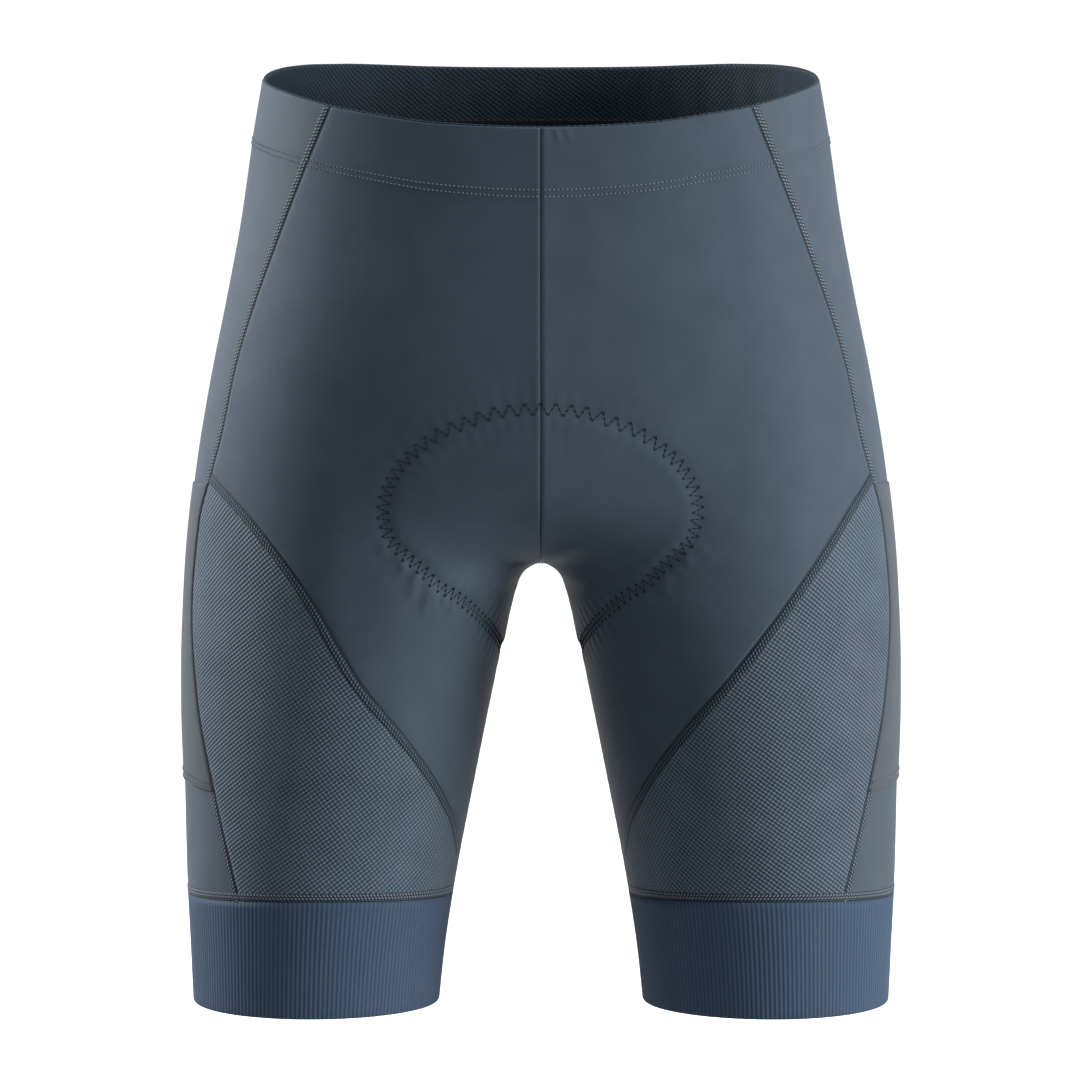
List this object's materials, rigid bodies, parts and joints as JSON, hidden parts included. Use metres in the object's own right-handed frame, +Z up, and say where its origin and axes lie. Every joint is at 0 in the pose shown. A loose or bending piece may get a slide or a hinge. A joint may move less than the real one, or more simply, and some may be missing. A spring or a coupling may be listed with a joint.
{
  "type": "cycling shorts",
  "caption": "Knee-length stretch cycling shorts in their worn form, with panelled legs, side pockets, ribbed leg bands and a padded seat.",
  "frame": {"origin": "centre of the waist opening, where the wearer's waist holds the garment", "axes": "+X toward the wearer's left, +Y toward the wearer's back, +Z up; the front faces -Y"},
  "size_m": [0.3766, 0.2226, 0.4855],
  "materials": {
    "front_jersey": "matt circular-knit stretch jersey, slate blue",
    "side_jersey": "matt stretch jersey, slate blue",
    "pocket_jersey": "matt stretch jersey, a little warmer grey",
    "thigh_mesh_knit": "fine textured stretch knit, dark slate",
    "back_jersey": "matt stretch jersey, slate blue",
    "band_rib": "matt ribbed elastic knit, navy slate",
    "hem_knit": "turned-in inside of the knit, very dark navy",
    "pad_foam_knit": "brushed knit over soft foam, near black"
  },
  "bodies": {
    "root": {"front_left": "front_jersey", "front_right": "front_jersey", "side_left": "side_jersey", "side_right": "side_jersey", "pocket_left": "pocket_jersey", "pocket_right": "pocket_jersey", "thigh_mesh_left": "thigh_mesh_knit", "thigh_mesh_right": "thigh_mesh_knit", "back_left": "back_jersey", "back_right": "back_jersey", "leg_band_left": "band_rib", "leg_band_right": "band_rib", "waist_hem": "hem_knit", "seat_pad": "pad_foam_knit"}
  },
  "joints": []
}
